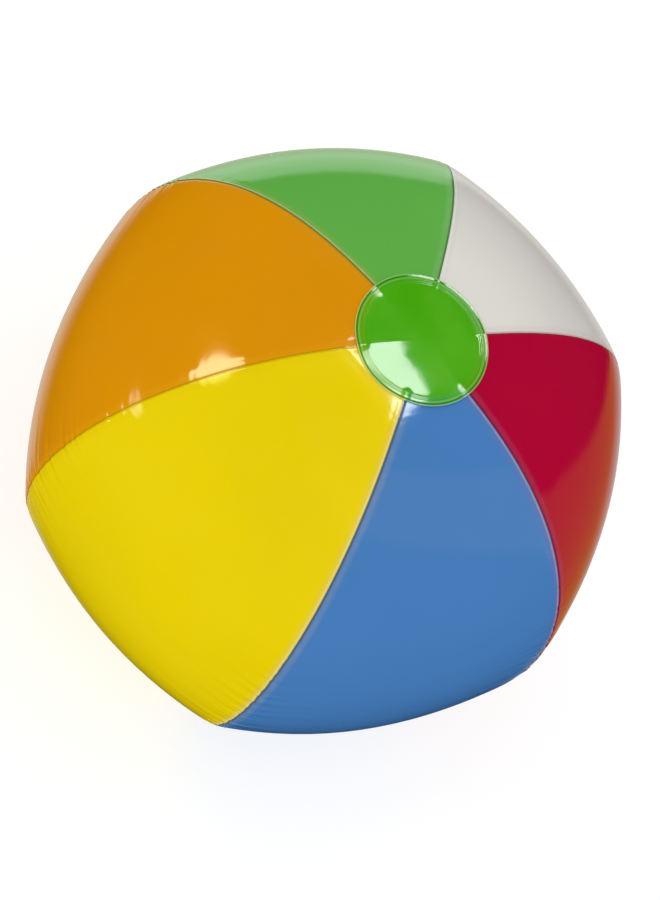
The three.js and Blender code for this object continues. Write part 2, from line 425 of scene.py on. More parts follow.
def turned(grid: np.ndarray, loop: bool, values: dict[str, np.ndarray] | None = None) -> Surface:
    """A surface that closes on itself round its columns, such as one turned about an axis.

    Args:
        grid: Points by row and column. If it isn't a loop, its first and last rows are each one point
            on the axis, repeated, and become the tips of two fans.
        loop: The last row joins the first, as on a ring or a tube with a wall.
        values: Named values for each point of the grid.

    Returns:
        The closed surface.
    """
    rows, columns = grid.shape[:2]
    ring = np.arange(columns)
    after = (ring + 1) % columns
    body = np.arange(rows if loop else rows - 2)
    lower = body[:, None] * columns
    upper = (np.roll(body, -1) if loop else body + 1)[:, None] * columns
    steps = slice(None) if loop else slice(0, -1)
    quads = np.stack((lower + ring, upper + ring, upper + after, lower + after), axis=-1)[steps]
    triangles = np.zeros((0, 3), int)
    inside = grid if loop else grid[1:-1]
    vertices = inside.reshape(-1, 3)
    if not loop:
        first, last = len(vertices), len(vertices) + 1
        end = (rows - 3) * columns
        start_fan = np.stack((np.full(columns, first), ring, after), axis=1)
        end_fan = np.stack((np.full(columns, last), end + after, end + ring), axis=1)
        triangles = np.concatenate((start_fan, end_fan))
        vertices = np.concatenate((vertices, grid[:1, 0], grid[-1:, 0]))
    named = {}
    for title, value in (values or {}).items():
        kept = value if loop else value[1:-1]
        flat = kept.reshape(-1, *value.shape[2:])
        named[title] = flat if loop else np.concatenate((flat, value[:1, 0], value[-1:, 0]))
    return Surface(vertices, quads.reshape(-1, 4), triangles, named)


def thin_shell(
    outer: np.ndarray, inner: np.ndarray, quads: np.ndarray, values: dict[str, np.ndarray]
) -> Surface:
    """A closed shell from an open face, the same face moved inwards, and a wall along every free edge.

    An edge is free where no other quad runs along it the other way. Its wall is the quad through the
    edge's two outer and two inner ends.

    Args:
        outer: Vertices of the outer face.
        inner: The same vertices on the inner face.
        quads: Faces of the outer face.
        values: Named values of the outer vertices, repeated on the inner ones.

    Returns:
        The closed surface.
    """
    count = len(outer)
    starts = quads.ravel().astype(np.int64)
    ends = np.roll(quads, -1, axis=1).ravel().astype(np.int64)
    free = ~np.isin(starts * count + ends, ends * count + starts)
    start, end = starts[free], ends[free]
    walls = np.stack((end, start, start + count, end + count), axis=1)
    faces = np.concatenate((quads, quads[:, ::-1] + count, walls))
    repeated = {title: np.concatenate((value, value)) for title, value in values.items()}
    return Surface(np.concatenate((outer, inner)), faces, values=repeated)


def rounded_outline(corners: list[tuple[float, float, float]], steps: int = 5) -> np.ndarray:
    """A closed outline with its corners turned into arcs.

    Each corner is cut back by its radius along both of its sides, and the cut is filled with a quadratic
    curve through the corner's place: (1-t)^2 a + 2t(1-t) c + t^2 b.

    Args:
        corners: Across, along and rounding radius of each corner, in order.
        steps: Points on each rounded corner.

    Returns:
        The points of the outline, one row each.
    """
    places = np.array([corner[:2] for corner in corners])
    radii = np.array([corner[2] for corner in corners])
    back = np.roll(places, 1, axis=0) - places
    ahead = np.roll(places, -1, axis=0) - places
    back /= np.linalg.norm(back, axis=1, keepdims=True)
    ahead /= np.linalg.norm(ahead, axis=1, keepdims=True)
    start = places + back * radii[:, None]
    end = places + ahead * radii[:, None]
    t = np.linspace(0, 1, steps)[None, :, None]
    curve = (1 - t) ** 2 * start[:, None] + 2 * t * (1 - t) * places[:, None] + t**2 * end[:, None]
    return curve.reshape(-1, 2)


# --------------------------------------------------------------------------- finishes


class NodeSheet:
    """A material's node tree, with one call for each kind of node that the finishes use."""

    def __init__(self, tree: bpy.types.NodeTree) -> None:
        """Starts on an empty tree.

        Args:
            tree: The node tree to fill; what is in it is removed.
        """
        self.tree = tree
        tree.nodes.clear()

    @classmethod
    def for_material(cls, name: str) -> tuple["NodeSheet", bpy.types.Material]:
        """A new material of this name, and the sheet to fill it with.

        Args:
            name: The material's name.

        Returns:
            The sheet and the material.
        """
        material = bpy.data.materials.new(name)
        material.use_nodes = True
        return cls(material.node_tree), material

    def add(
        self, kind: str, inputs: dict[str | int, object] | None = None, **settings: object
    ) -> bpy.types.Node:
        """Adds a node, sets its properties, and fills its inputs.

        Args:
            kind: The node's type.
            inputs: For each socket's name or number, a constant or the socket to link from.
            **settings: Properties of the node.

        Returns:
            The new node.
        """
        node = self.tree.nodes.new(kind)
        for title, value in settings.items():
            setattr(node, title, value)
        for title, value in (inputs or {}).items():
            if isinstance(value, bpy.types.NodeSocket):
                self.tree.links.new(value, node.inputs[title])
            elif isinstance(value, tuple) and node.inputs[title].type == "RGBA":
                node.inputs[title].default_value = (*value, 1.0)
            else:
                node.inputs[title].default_value = value
        return node

    def position(self) -> Socket:
        """The place of a point on the piece, in metres."""
        return self.add("ShaderNodeTexCoord").outputs["Object"]

    def value(self, title: str) -> Socket:
        """One of the piece's own named numbers."""
        return self.add("ShaderNodeAttribute", attribute_name=title).outputs["Fac"]

    def colour(self, title: str) -> Socket:
        """One of the piece's own named colours."""
        return self.add("ShaderNodeAttribute", attribute_name=title).outputs["Color"]

    def noise(self, scale: float, detail: float = 2.0, roughness: float = 0.5) -> Socket:
        """Noise in space; the scale is in cycles for each metre."""
        inputs = {"Vector": self.position(), "Scale": scale, "Detail": detail, "Roughness": roughness}
        return self.add("ShaderNodeTexNoise", inputs).outputs["Fac"]

    def remap(self, value: Socket, span: tuple[float, float], to: tuple[float, float]) -> Socket:
        """Takes a value smoothly from one span to another and stops at its ends."""
        inputs = {"Value": value, "From Min": span[0], "From Max": span[1], "To Min": to[0], "To Max": to[1]}
        return self.add("ShaderNodeMapRange", inputs, interpolation_type="SMOOTHSTEP").outputs["Result"]

    def math(
        self, operation: str, first: Socket | float, second: Socket | float = 0.0, third: float = 0.0
    ) -> Socket:
        """One sum on two numbers, or on three for an operation such as MULTIPLY_ADD."""
        return self.add("ShaderNodeMath", {0: first, 1: second, 2: third}, operation=operation).outputs[0]

    def strip(self, value: Socket, low: float, high: float, edge: float, strength: float = 1.0) -> Socket:
        """A soft-edged strip: the given strength between low and high, and 0 outside them.

        Args:
            value: What the strip is measured along.
            low: Where it starts.
            high: Where it ends.
            edge: Half the width of each soft edge.
            strength: Its value inside.

        Returns:
            The strip's value.
        """
        rising = self.remap(value, (low - edge, low + edge), (0.0, strength))
        falling = self.remap(value, (high - edge, high + edge), (1.0, 0.0))
        return self.math("MULTIPLY", rising, falling)

    def mix(self, share: Socket | float, first: Socket | Colour, second: Socket | Colour) -> Socket:
        """Two colours mixed by a share of the second.

        Args:
            share: How much of the second colour, from 0 to 1.
            first: The colour at 0.
            second: The colour at 1.

        Returns:
            The mixed colour.
        """
        node = self.add("ShaderNodeMix", data_type="RGBA")
        colours = [socket for socket in node.inputs if socket.type == "RGBA"]
        for socket, value in zip((node.inputs[0], *colours), (share, first, second)):
            if isinstance(value, bpy.types.NodeSocket):
                self.tree.links.new(value, socket)
            else:
                socket.default_value = (*value, 1.0) if isinstance(value, tuple) else value
        return next(socket for socket in node.outputs if socket.type == "RGBA")

    def finish(
        self, colour: Socket, roughness: Socket, height: Socket, relief: float, **fixed: float
    ) -> None:
        """Ends the tree in one principled shader with a bump.

        Args:
            colour: The base colour.
            roughness: The roughness.
            height: A height between 0 and 1 for the bump.
            relief: How high 1 is, in metres.
            **fixed: Numbers that are the same all over, by socket name with _ for a space.
        """
        rise = self.add("ShaderNodeBump", {"Strength": 1.0, "Distance": relief, "Height": height})
        inputs = {"Base Color": colour, "Roughness": roughness, "Normal": rise.outputs["Normal"]}
        inputs |= {title.replace("_", " "): value for title, value in fixed.items()}
        shader = self.add("ShaderNodeBsdfPrincipled", inputs)
        self.add("ShaderNodeOutputMaterial", {"Surface": shader.outputs["BSDF"]})


@dataclass(frozen=True)
class WeldLook:
    """How strongly a panel's welds show, each from 0 to 1, and how wide the painted shade along its cut edge
    is.

    The groove lies at its first seam, with painted shade in it. At its last lie the pale line of stressed
    film, the tint of the lap below it and the painted shade along the cut edge.
    """

    groove_shade: float = 0.75
    stress: float = 0.3
    lap: float = 0.2
    # Strength of the painted shade along the cut edge.
    edge: float = 0.75
    edge_width: float = 0.35 * MM


WELD_LOOKS = {
    PanelColour.RED: WeldLook(stress=0.0, lap=0.0, edge=0.65, edge_width=0.9 * MM),
    PanelColour.WHITE: WeldLook(stress=0.60, lap=0.08, edge=0.30),
    PanelColour.GREEN: WeldLook(stress=0.45),
    PanelColour.ORANGE: WeldLook(groove_shade=0.30, stress=0.0, lap=0.10, edge=0.40),
    PanelColour.YELLOW: WeldLook(groove_shade=0.30, stress=0.38, lap=0.12),
    PanelColour.BLUE: WeldLook(),
}


@dataclass(frozen=True)
class FilmFinish:
    """Glossy soft film in one colour, with painted shade in the groove along a weld and along its cut edge, a
    painted reflection of the covering panel's colour beside the groove, and tinted over the lap under it.

    Its pattern follows two values of the mesh, the distance from the panel's first seam and from its last.
    Pale film is painted lighter near the poles, a painted glow of light showing through it from inside, which
    fades out between two distances from the axis.
    """

    panel: PanelColour
    groove_shade: float = 1.1 * MM
    lap: float = 4.0 * MM
    # Distances from the axis over which the painted light through pale film fades out.
    painted_backlight_span: tuple[float, float] = (50 * MM, 110 * MM)

    def build(self) -> bpy.types.Material:
        """Makes the material.

        Returns:
            The finished material.
        """
        sheet, material = NodeSheet.for_material(f"film_{self.panel.title}")
        look = WELD_LOOKS[self.panel]
        own = linear(self.panel.value)
        below = linear(self.panel.under.value)
        cover = linear(self.panel.over.value)
        before, after = sheet.value("from_start"), sheet.value("from_end")

        cloud = sheet.remap(sheet.noise(9.0, 3.0), (0.3, 0.7), (0.0, 1.0))
        colour = sheet.mix(cloud, scaled(own, 0.975), scaled(own, 1.02))
        speck = sheet.remap(sheet.noise(900.0, 1.0), (0.66, 0.74), (0.0, 0.10))
        colour = sheet.mix(speck, colour, scaled(own, 0.8))
        pale_film = min(own) > 0.4
        # Painted light: pale film is made lighter near the poles, standing in for light that shows through it
        # from inside.
        if pale_film:
            flat = {0: sheet.position(), 1: (1.0, 1.0, 0.0)}
            level = sheet.add("ShaderNodeVectorMath", flat, operation="MULTIPLY").outputs["Vector"]
            out = sheet.add("ShaderNodeVectorMath", {0: level}, operation="LENGTH").outputs["Value"]
            through = sheet.remap(out, self.painted_backlight_span, (1.0, 0.0))
            colour = sheet.mix(through, colour, scaled(own, 1.14))

        patchy = sheet.remap(sheet.noise(160.0, 2.0), (0.25, 0.75), (0.6, 1.0))
        over_lap = sheet.strip(after, -FAR, self.lap, 0.25 * MM, look.lap)
        stress = sheet.strip(after, 0.45 * MM, 1.6 * MM, 0.35 * MM, look.stress)
        # Painted shade: a dark line along the cut edge at the panel's last seam.
        edge = sheet.strip(after, -FAR, look.edge_width, 0.2 * MM, look.edge)
        # Painted shade in the groove at the first seam.
        groove_shade = sheet.strip(before, -FAR, self.groove_shade, 0.35 * MM, look.groove_shade)
        # Painted reflection of the covering panel's colour on a strip beside the groove.
        painted_cover_reflection = sheet.strip(before, self.groove_shade, 4.5 * MM, 1.5 * MM, 0.10)
        # The groove's colour: painted shade, and on pale film a painted reflection of the covering panel's
        # colour instead.
        dark = blended(own, cover, 0.45) if pale_film else scaled(blended(own, cover, 0.10), 0.36)
        layers = (
            (sheet.math("MULTIPLY", over_lap, patchy), blended(own, below, 0.7)),
            (sheet.math("MULTIPLY", stress, patchy), blended(own, STRESSED_FILM, 0.55)),
            (edge, scaled(blended(own, below, 0.10), 0.38)),
            (groove_shade, dark),
            (sheet.math("MULTIPLY", painted_cover_reflection, patchy), cover),
        )
        for share, over in layers:
            colour = sheet.mix(share, colour, over)

        scuff = sheet.remap(sheet.noise(42.0, 4.0, 0.7), (0.55, 0.8), (0.0, 0.07))
        roughness = sheet.math("ADD", sheet.remap(sheet.noise(23.0), (0.3, 0.7), (0.075, 0.115)), scuff)
        roughness = sheet.math("ADD", roughness, sheet.math("MULTIPLY", over_lap, 0.10))
        skin = sheet.math("MULTIPLY", sheet.noise(700.0, 2.0), 0.10)
        drape = sheet.noise(55.0, 2.0, 0.4)
        height = sheet.math("ADD", skin, drape)
        sheet.finish(colour, roughness, height, 0.10 * MM, IOR=1.46)
        return material


@dataclass(frozen=True)
class DiscFinish:
    """The end disc's green film: clear enough for the panels to show through where it is welded to them.

    It reads the distance from the axis, and a colour that says which panel lies under each point. Its
    rings, from the middle outwards, are the start of the weld, the second weld line, the pale band, the
    dark fold and the clear rim.
    """

    colour: str = "#46a80c"
    weld_start: float = 33.0 * MM

    def build(self) -> bpy.types.Material:
        """Makes the material.

        Returns:
            The finished material.
        """
        sheet, material = NodeSheet.for_material("film_disc_green")
        own = linear(self.colour)
        out, below = sheet.value("from_axis"), sheet.colour("panel_below")
        cloud = sheet.remap(sheet.noise(30.0, 3.0), (0.3, 0.7), (0.0, 1.0))
        colour = sheet.mix(cloud, scaled(own, 0.93), blended(own, (0.12, 0.42, 0.02), 0.35))
        see_through = sheet.mix(0.62, (0.55, 0.80, 0.34), below)
        rings = (
            (self.weld_start, FAR, 0.8 * MM, 0.09, below),
            (34.9 * MM, 35.5 * MM, 0.35 * MM, 0.35, scaled(own, 0.55)),
            (35.7 * MM, 36.7 * MM, 0.35 * MM, 0.20, blended(own, (0.75, 0.95, 0.55), 0.5)),
            (36.9 * MM, 37.8 * MM, 0.3 * MM, 0.70, scaled(own, 0.36)),
            (38.0 * MM, FAR, 0.2 * MM, 0.85, see_through),
        )
        for start, end, edge, strength, over in rings:
            colour = sheet.mix(sheet.strip(out, start, end, edge, strength), colour, over)

        scuff = sheet.remap(sheet.noise(60.0, 4.0, 0.7), (0.55, 0.8), (0.0, 0.06))
        roughness = sheet.math("ADD", sheet.remap(sheet.noise(31.0), (0.3, 0.7), (0.065, 0.10)), scuff)
        height = sheet.math("ADD", sheet.math("MULTIPLY", sheet.noise(800.0), 0.12), sheet.noise(90.0))
        sheet.finish(colour, roughness, height, 0.06 * MM, IOR=1.46)
        return material


@dataclass(frozen=True)
class MouldedFinish:
    """Soft moulded vinyl of the valve: milky, satin, with flow marks and a little grime."""

    colour: str = "#e6e6e1"

    def build(self) -> bpy.types.Material:
        """Makes the material.

        Returns:
            The finished material.
        """
        sheet, material = NodeSheet.for_material("valve_soft_vinyl")
        own = linear(self.colour)
        cloud = sheet.remap(sheet.noise(120.0, 3.0), (0.3, 0.7), (0.0, 1.0))
        colour = sheet.mix(cloud, scaled(own, 0.95), own)
        grime = sheet.remap(sheet.noise(420.0, 4.0, 0.7), (0.55, 0.80), (0.0, 0.25))
        colour = sheet.mix(grime, colour, scaled(own, 0.72))
        roughness = sheet.remap(sheet.noise(260.0, 3.0), (0.3, 0.7), (0.26, 0.40))
        height = sheet.math("ADD", sheet.math("MULTIPLY", sheet.noise(2600.0), 0.25), sheet.noise(400.0))
        sheet.finish(colour, roughness, height, 0.04 * MM, IOR=1.50)
        return material


# --------------------------------------------------------------------------- the ball


@dataclass(frozen=True)
class WeldProfile:
    """How high the film stands across a lap weld, over the smooth surface.

    The later panel's lap runs one film and a little under the earlier panel, then climbs out to the common
    surface. The earlier panel is pressed down over the lap, with a bead squeezed out along its cut edge.
    """

    lap: float = 4.0 * MM
    drop: float = 0.27 * MM
    climb: tuple[float, float] = (0.3 * MM, 1.5 * MM)
    pressed: float = 0.05 * MM
    bead: float = 0.13 * MM
    bead_width: float = 0.35 * MM
    crease: float = 0.05 * MM

    def below(self, from_start: np.ndarray) -> np.ndarray:
        """The level near a panel's first seam: -drop under the cover, rising to 0 by a smooth step."""
        return -self.drop * (1 - smoothstep(*self.climb, from_start))

    def cover(self, from_end: np.ndarray) -> np.ndarray:
        """The level near a panel's last edge: pressed over the lap, a bead at the edge, a crease past it.

        Args:
            from_end: Distance from the panel's last seam.

        Returns:
            The level at each point.
        """
        pressed = -self.pressed * (1 - smoothstep(self.lap - 0.4 * MM, self.lap + 0.3 * MM, from_end))
        bead = self.bead * bump(0.45 * MM, self.bead_width, from_end)
        crease = -self.crease * bump(self.lap + 0.3 * MM, 0.8 * MM, from_end)
        return pressed + bead + crease


@dataclass(frozen=True)
class FilmPanels:
    """The six gores, each a closed shell of film from under the upper end disc to under the lower one."""

    shape: FilmShape
    gathers: Gathers
    weld: WeldProfile = WeldProfile()
    end_radius: float = 32.6 * MM
    rows: int = 641
    steps: tuple[float, ...] = (
        0, 0.15, 0.3, 0.5, 0.75, 1.05, 1.4, 1.9, 2.6, 3.3, 3.7, 4.0, 4.35, 4.8, 5.6, 6.8,
        8.2, 9.8, 11.8, 14.2, 17.0, 20.5, 25.0, 31.0, 39.0, 49.0, 60.0, 71.0, 82.0,
    )
    lap_steps: tuple[float, ...] = (-4.0, -2.0, -0.8)
    firm_width: float = 6.0 * MM
    hole_radius: float = 10.8 * MM
    hole_rings: int = 6
    drape: float = 0.25 * MM
    drape_wave: float = 31 * MM

    def rows_polar(self, azimuth: np.ndarray) -> np.ndarray:
        """The polar angle of every row: evenly from one end of the panel to the other.

        Args:
            azimuth: Angle from +X towards +Y of every column.

        Returns:
            One row of angles for each row of the panel.
        """
        end = self.shape.polar_at(self.end_radius, azimuth)
        part = np.linspace(0, 1, self.rows)[:, None]
        return end + (math.pi - 2 * end) * part

    def along(self, polar: np.ndarray) -> np.ndarray:
        """The distance along a seam from the equator, summed over short chords of the seam.

        Args:
            polar: Angle from the upper pole.

        Returns:
            The distance, below 0 above the equator.
        """
        table = np.linspace(0.02, math.pi - 0.02, 2001)
        places = self.shape.point(table, np.zeros(1), np.zeros(1))
        chords = np.linalg.norm(np.diff(places, axis=0), axis=1)
        lengths = np.concatenate(((0.0,), np.cumsum(chords)))
        return np.interp(polar, table, lengths - lengths[len(table) // 2])

    def columns(self, half_width: np.ndarray) -> np.ndarray:
        """Where each column lies, as a distance from the first seam.

        Near both seams the columns keep their true distances; past the firm width they close up in
        proportion as the panel narrows towards the poles.

        Args:
            half_width: Half the panel's width at each row, as a column of numbers.

        Returns:
            One row of distances for each row of the panel.
        """
        near = np.array(self.steps) * MM
        widest = float(half_width.max())
        firm = np.minimum(self.firm_width, 0.5 * half_width)
        beyond = (near - self.firm_width) / (widest - self.firm_width)
        within = near * firm / self.firm_width
        side = np.where(near <= self.firm_width, within, firm + beyond * (half_width - firm))
        lap = np.broadcast_to(np.array(self.lap_steps) * MM, (len(half_width), len(self.lap_steps)))
        return np.concatenate((lap, side, half_width, 2 * half_width - side[:, ::-1]), axis=1)

    def level(
        self, panel: PanelColour, polar: np.ndarray, from_start: np.ndarray, width: np.ndarray
    ) -> np.ndarray:
        """The film's height over the smooth surface: weld steps, gathers at both seams, and the drape.

        Args:
            panel: Which panel it is.
            polar: Angle from the upper pole.
            from_start: Distance from the first seam.
            width: The panel's width at the same height.

        Returns:
            The level at each point.
        """
        from_end = width - from_start
        along = self.along(polar)
        before = self.gathers.relief(panel.place, polar, along, from_start)
        after = self.gathers.relief((panel.place + 1) % PANEL_COUNT, polar, along, -from_end)
        wave = np.sin(along / self.drape_wave + panel.place)
        pull = self.drape * wave * np.sin(math.pi * from_start / width) ** 2
        inner = np.where(from_start < 0, 0.0, pull)
        return self.weld.below(from_start) + self.weld.cover(from_end) + before + after + inner

    def surface(self, panel: PanelColour) -> Surface:
        """Works out one panel: a grid of rows from pole to pole and columns from seam to seam.

        Args:
            panel: Which panel it is.

        Returns:
            Its closed shell.
        """
        start = panel.place * PANEL_ANGLE
        half_width = self.shape.ring_radius(self.rows_polar(np.array([start]))) * HALF_PANEL
        from_start = self.columns(half_width)
        width = 2 * half_width
        azimuth = start + PANEL_ANGLE * from_start / width
        polar = self.rows_polar(azimuth)
        quads = grid_quads(*azimuth.shape)
        if panel is PanelColour.WHITE:
            azimuth, polar, quads = self.pierced(azimuth, polar, quads)
            width = 2 * self.shape.ring_radius(polar) * HALF_PANEL
            from_start = (azimuth - start) / PANEL_ANGLE * width
        level = self.level(panel, polar, from_start, width)
        outer = self.shape.point(polar, azimuth, level).reshape(-1, 3)
        inner = self.shape.point(polar, azimuth, level - self.shape.film).reshape(-1, 3)
        values = {"from_start": from_start.ravel(), "from_end": (width - from_start).ravel()}
        return thin_shell(outer, inner, quads, values)

    def pierced(
        self, azimuth: np.ndarray, polar: np.ndarray, quads: np.ndarray
    ) -> tuple[np.ndarray, np.ndarray, np.ndarray]:
        """Opens the round hole for the valve in the middle of a panel.

        A block of the grid is taken out, and rings lead from the block's square edge to the circle: a
        point of ring k is the mean of its edge point and its circle point, weighted by k.

        Args:
            azimuth: Azimuth of every vertex of the grid.
            polar: Polar angle of every vertex.
            quads: The grid's faces.

        Returns:
            The same three with the rings added, the first two as flat arrays.
        """
        rows, columns = azimuth.shape
        middle = math.pi / 2
        reach = float(self.shape.point(middle, middle, 0.0)[1])
        rise = self.shape.pole_height * (1 + self.shape.panel_rise)
        across = (middle - azimuth) * reach
        upward = (middle - polar) * rise
        block = 1.5 * self.hole_radius
        row_inside = np.flatnonzero(np.abs(upward[:, columns // 2]) < block)
        column_inside = np.flatnonzero(np.abs(across[rows // 2]) < block)
        top, bottom = row_inside[0], row_inside[-1]
        left, right = column_inside[0] - 1, column_inside[-1] + 1
        down, along = np.arange(top, bottom), np.arange(left, right)
        edge = np.concatenate((
            top * columns + along,
            down * columns + right,
            bottom * columns + along[::-1] + 1,
            (down[::-1] + 1) * columns + left,
        ))
        edge_across, edge_up = across.ravel()[edge], upward.ravel()[edge]
        angle = np.arctan2(edge_up, edge_across)
        part = (np.arange(1, self.hole_rings + 1) / self.hole_rings)[:, None]
        ring_across = edge_across + (self.hole_radius * np.cos(angle) - edge_across) * part
        ring_up = edge_up + (self.hole_radius * np.sin(angle) - edge_up) * part
        count = len(edge)
        first_new = rows * columns
        added = first_new + np.arange(self.hole_rings * count).reshape(-1, count)
        rings = np.concatenate((edge[None], added))
        ahead = np.roll(rings, -1, axis=1)
        ring_quads = np.stack((rings[:-1], ahead[:-1], ahead[1:], rings[1:]), axis=-1).reshape(-1, 4)
        corner_row, corner_column = np.divmod(quads[:, 0], columns)
        in_rows = (corner_row >= top) & (corner_row < bottom)
        in_columns = (corner_column >= left) & (corner_column < right)
        kept = np.concatenate((quads[~(in_rows & in_columns)], ring_quads))
        all_azimuth = np.concatenate((azimuth.ravel(), (middle - ring_across / reach).ravel()))
        all_polar = np.concatenate((polar.ravel(), (middle - ring_up / rise).ravel()))
        used, renumbered = np.unique(kept, return_inverse=True)
        return all_azimuth[used], all_polar[used], renumbered.reshape(-1, 4)

    def build(self) -> list[bpy.types.Object]:
        """Builds and dresses the six panels, and lets them stand for their solids.

        Returns:
            The panels' objects.
        """
        pieces = []
        for panel in PanelColour:
            piece = self.surface(panel).build(f"film_panel_{panel.title}", FilmFinish(panel).build())
            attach(piece, "root")
            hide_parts(f"panel_{panel.title}")
            pieces.append(piece)
            LOG.info("panel %s: %d faces", panel.title, len(piece.data.polygons))
        return pieces


@dataclass(frozen=True)
class EndDisc:
    """The round film cap over one pole, welded over the six panel tips by two rings."""

    shape: FilmShape
    name: str
    side: int
    radius: float = 38.6 * MM
    weld_start: float = 32.6 * MM
    thickness: float = 0.2 * MM
    clearance: float = 0.06 * MM
    segments: int = 720
    inner_rings: int = 40
    weld_rings: int = 60
    seam_rise: float = 0.18 * MM
    seam_width: float = 0.06
    relief: tuple[tuple[float, float, float], ...] = (
        (0.03, 33.6, 0.34), (0.03, 34.6, 0.34), (0.03, 35.6, 0.34), (-0.05, 36.8, 0.45), (0.08, 38.1, 0.40),
    )

    def level(self, radius: np.ndarray, azimuth: np.ndarray) -> np.ndarray:
        """The cap's underside over the film: the relief of the weld, and a rise over each seam.

        The relief is three ridges, a dip and a bead, each a bump given by its height, its distance from
        the axis and its width in millimetres. The cap also lifts slowly from the weld's start to the rim,
        by 0.03 (q + sqrt(q^2 + 1 mm^2)) for the distance q past that start.

        Args:
            radius: Distance from the axis.
            azimuth: Angle round the axis.

        Returns:
            The level of the underside.
        """
        pressed = sum(height * MM * bump(at * MM, width * MM, radius) for height, at, width in self.relief)
        local = azimuth % PANEL_ANGLE
        near_seam = bump(0.0, self.seam_width, local) + bump(PANEL_ANGLE, self.seam_width, local)
        over_weld = self.seam_rise * near_seam * smoothstep(30 * MM, 34 * MM, radius)
        past = radius - self.weld_start
        lifted = 0.03 * (past + np.sqrt(past**2 + MM**2))
        return self.clearance + pressed + over_weld + lifted

    def surface(self) -> Surface:
        """Works out the cap as one closed profile from its middle, over its rim, back to its middle.

        Returns:
            The closed surface, with the distance from the axis and the colour below as values.
        """
        top = np.concatenate((
            np.linspace(0, self.weld_start, self.inner_rings, endpoint=False),
            np.linspace(self.weld_start, self.radius, self.weld_rings),
        ))
        radius = np.concatenate((top, top[::-1]))[:, None]
        raised = np.concatenate((np.full(len(top), self.thickness), np.zeros(len(top))))[:, None]
        azimuth = np.linspace(0, 2 * math.pi, self.segments, endpoint=False)[None]
        upper = self.shape.polar_at(radius, azimuth)
        polar = upper if self.side > 0 else math.pi - upper
        points = self.shape.point(polar, azimuth, self.level(radius, azimuth) + raised)
        points[0, :, :2] = 0.0
        points[-1, :, :2] = 0.0
        points[..., 2] = np.maximum(points[..., 2], np.where(raised > 0, 0.0, self.thickness))
        index = np.floor(azimuth / PANEL_ANGLE).astype(int) % PANEL_COUNT
        palette = np.array([linear(panel.value) for panel in PanelColour])
        below = np.broadcast_to(palette[index], (len(radius), self.segments, 3))
        from_axis = np.broadcast_to(radius, points.shape[:2])
        return turned(points, loop=False, values={"from_axis": from_axis, "panel_below": below})

    def build(self, material: bpy.types.Material) -> bpy.types.Object:
        """Builds the cap and lets it stand for its solid.

        Args:
            material: The disc's finish.

        Returns:
            The cap's object.
        """
        piece = self.surface().build(f"film_{self.name}", material)
        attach(piece, "root")
        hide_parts(self.name)
        LOG.info("%s: %d faces", self.name, len(piece.data.polygons))
        return piece


